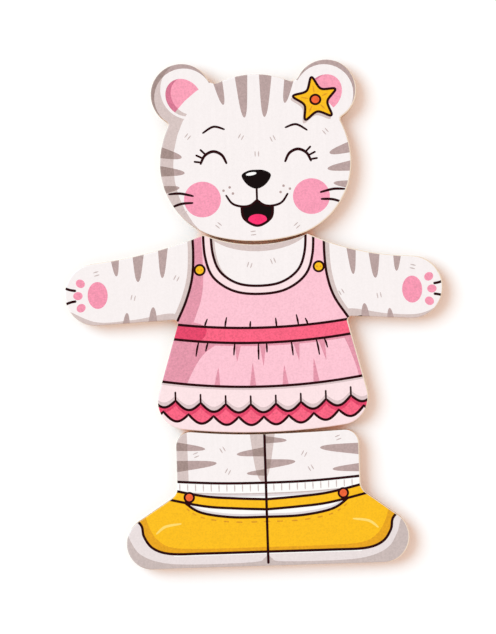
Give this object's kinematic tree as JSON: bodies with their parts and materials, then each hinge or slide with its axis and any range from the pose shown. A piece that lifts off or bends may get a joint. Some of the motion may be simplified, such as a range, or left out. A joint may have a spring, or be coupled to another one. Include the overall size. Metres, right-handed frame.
{
  "type": "wooden dress-up puzzle figure",
  "caption": "Flat plywood animal figure in loose pieces: a round-eared head nests in the neck of a dress with outstretched arms, whose hem nests on striped legs in wide shoes.",
  "frame": {"origin": "middle of the whole figure's box in plan, at the height of the backs that lie on the table", "axes": "+Y from the soles to the ears, +Z out of the printed faces, +X to the right as seen from above"},
  "size_m": [0.1208, 0.1612, 0.005],
  "materials": {
    "head_print": "satin print on sanded plywood, off-white fur with grey stripes",
    "torso_print": "satin print on sanded plywood, pink dress",
    "legs_print": "satin print on sanded plywood, yellow shoes",
    "core_wood": "bare core veneer, grain across the figure",
    "back_wood": "bare sanded back veneer, grain along the figure"
  },
  "bodies": {
    "torso": {"torso_face_ply": "torso_print", "torso_core_ply": "core_wood", "torso_back_ply": "back_wood"},
    "head": {"head_face_ply": "head_print", "head_core_ply": "core_wood", "head_back_ply": "back_wood"},
    "legs": {"legs_face_ply": "legs_print", "legs_core_ply": "core_wood", "legs_back_ply": "back_wood"}
  },
  "joints": [
    {"name": "head_pull", "type": "slide", "parent": "torso", "child": "head", "axis": [0, 1, 0], "range_m": [0, 0.03]},
    {"name": "legs_pull", "type": "slide", "parent": "torso", "child": "legs", "axis": [0, -1, 0], "range_m": [0, 0.03]}
  ]
}
